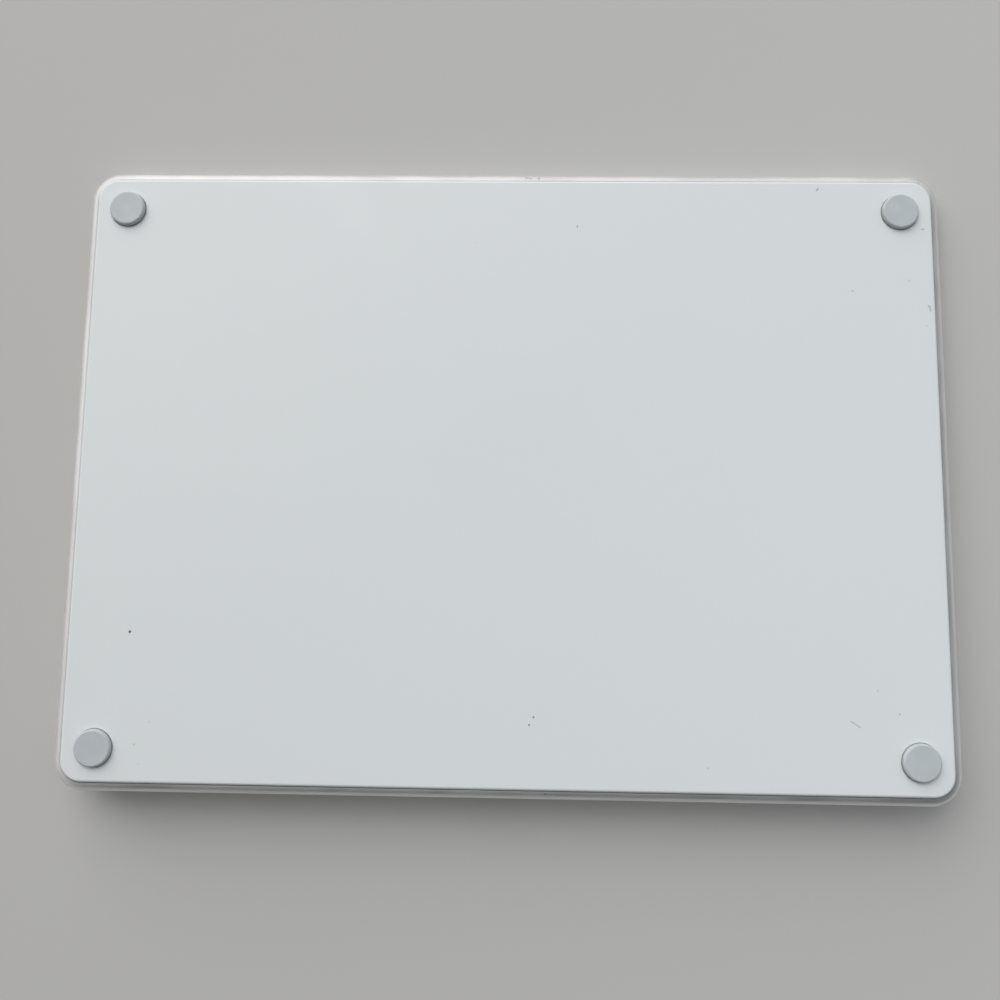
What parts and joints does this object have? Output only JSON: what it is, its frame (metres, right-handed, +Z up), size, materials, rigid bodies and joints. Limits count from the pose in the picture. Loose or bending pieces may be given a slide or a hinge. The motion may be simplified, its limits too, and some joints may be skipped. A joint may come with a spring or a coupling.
{
  "type": "trackpad",
  "caption": "Wedge-shaped wireless trackpad with a glass touch surface, an aluminium housing, a white bottom cover and sprung force-sensing feet.",
  "frame": {"origin": "middle of the footprint, on the desk under the feet", "axes": "+X to the right, +Y to the thick rear edge, +Z up"},
  "size_m": [0.16, 0.115, 0.0109],
  "materials": {
    "anodised_aluminium": "bead-blasted satin anodised",
    "white_cover": "satin moulded white",
    "white_glass": "white-backed etched glass",
    "grey_rubber": "matte moulded grey",
    "bond": "adhesive film",
    "steel": "cold-rolled",
    "circuit_board": "solder mask",
    "black_plastic": "moulded",
    "pouch_foil": "laminated foil",
    "copper": "enamelled copper",
    "ribbon_film": "polyimide",
    "iron": "laminated iron",
    "green_mark": "coloured film"
  },
  "bodies": {
    "body": {"housing": "anodised_aluminium", "bottom_cover": "white_cover", "cover_adhesive": "bond", "top_glass": "white_glass", "glass_adhesive": "bond", "touch_sensor_board": "circuit_board", "stiffener_plate": "steel", "strain_gauges": "ribbon_film", "flexure_screws": "steel", "logic_board": "circuit_board", "board_screws": "steel", "processor_shield": "steel", "radio_shield": "steel", "board_connectors": "black_plastic", "antenna": "copper", "charge_port_shell": "steel", "charge_port_insulator": "black_plastic", "charge_port_contacts": "copper", "battery_cell": "pouch_foil", "battery_tape": "bond", "battery_guard_board": "circuit_board", "battery_lead": "ribbon_film", "sensor_ribbon": "ribbon_film", "haptic_bracket": "steel", "haptic_cores": "iron", "haptic_coils": "copper", "haptic_springs": "steel", "switch_module": "black_plastic", "flexure_front_left": "steel", "flexure_front_right": "steel", "flexure_rear_left": "steel", "flexure_rear_right": "steel"},
    "front_left_foot": {"foot_front_left": "grey_rubber", "foot_stud_front_left": "steel"},
    "front_right_foot": {"foot_front_right": "grey_rubber", "foot_stud_front_right": "steel"},
    "rear_left_foot": {"foot_rear_left": "grey_rubber", "foot_stud_rear_left": "steel"},
    "rear_right_foot": {"foot_rear_right": "grey_rubber", "foot_stud_rear_right": "steel"},
    "slider": {"power_slider": "anodised_aluminium", "on_indicator": "green_mark"},
    "shuttle": {"haptic_shuttle": "iron"}
  },
  "joints": [
    {"name": "front_left_foot_press", "type": "slide", "parent": "body", "child": "front_left_foot", "axis": [0, 0, 1], "range_m": [0, 0.00015], "stiffness_N_per_m": 40000, "springref_m": -0.00003, "deforming": ["flexure_front_left"]},
    {"name": "front_right_foot_press", "type": "slide", "parent": "body", "child": "front_right_foot", "axis": [0, 0, 1], "range_m": [0, 0.00015], "stiffness_N_per_m": 40000, "springref_m": -0.00003, "deforming": ["flexure_front_right"]},
    {"name": "rear_left_foot_press", "type": "slide", "parent": "body", "child": "rear_left_foot", "axis": [0, 0, 1], "range_m": [0, 0.00015], "stiffness_N_per_m": 40000, "springref_m": -0.00003, "deforming": ["flexure_rear_left"]},
    {"name": "rear_right_foot_press", "type": "slide", "parent": "body", "child": "rear_right_foot", "axis": [0, 0, 1], "range_m": [0, 0.00015], "stiffness_N_per_m": 40000, "springref_m": -0.00003, "deforming": ["flexure_rear_right"]},
    {"name": "power_slide", "type": "slide", "parent": "body", "child": "slider", "axis": [1, 0, 0], "range_m": [0, 0.002]},
    {"name": "haptic_shake", "type": "slide", "parent": "body", "child": "shuttle", "axis": [1, 0, 0], "range_m": [-0.0003, 0.0003], "stiffness_N_per_m": 1500, "deforming": ["haptic_springs"]}
  ]
}
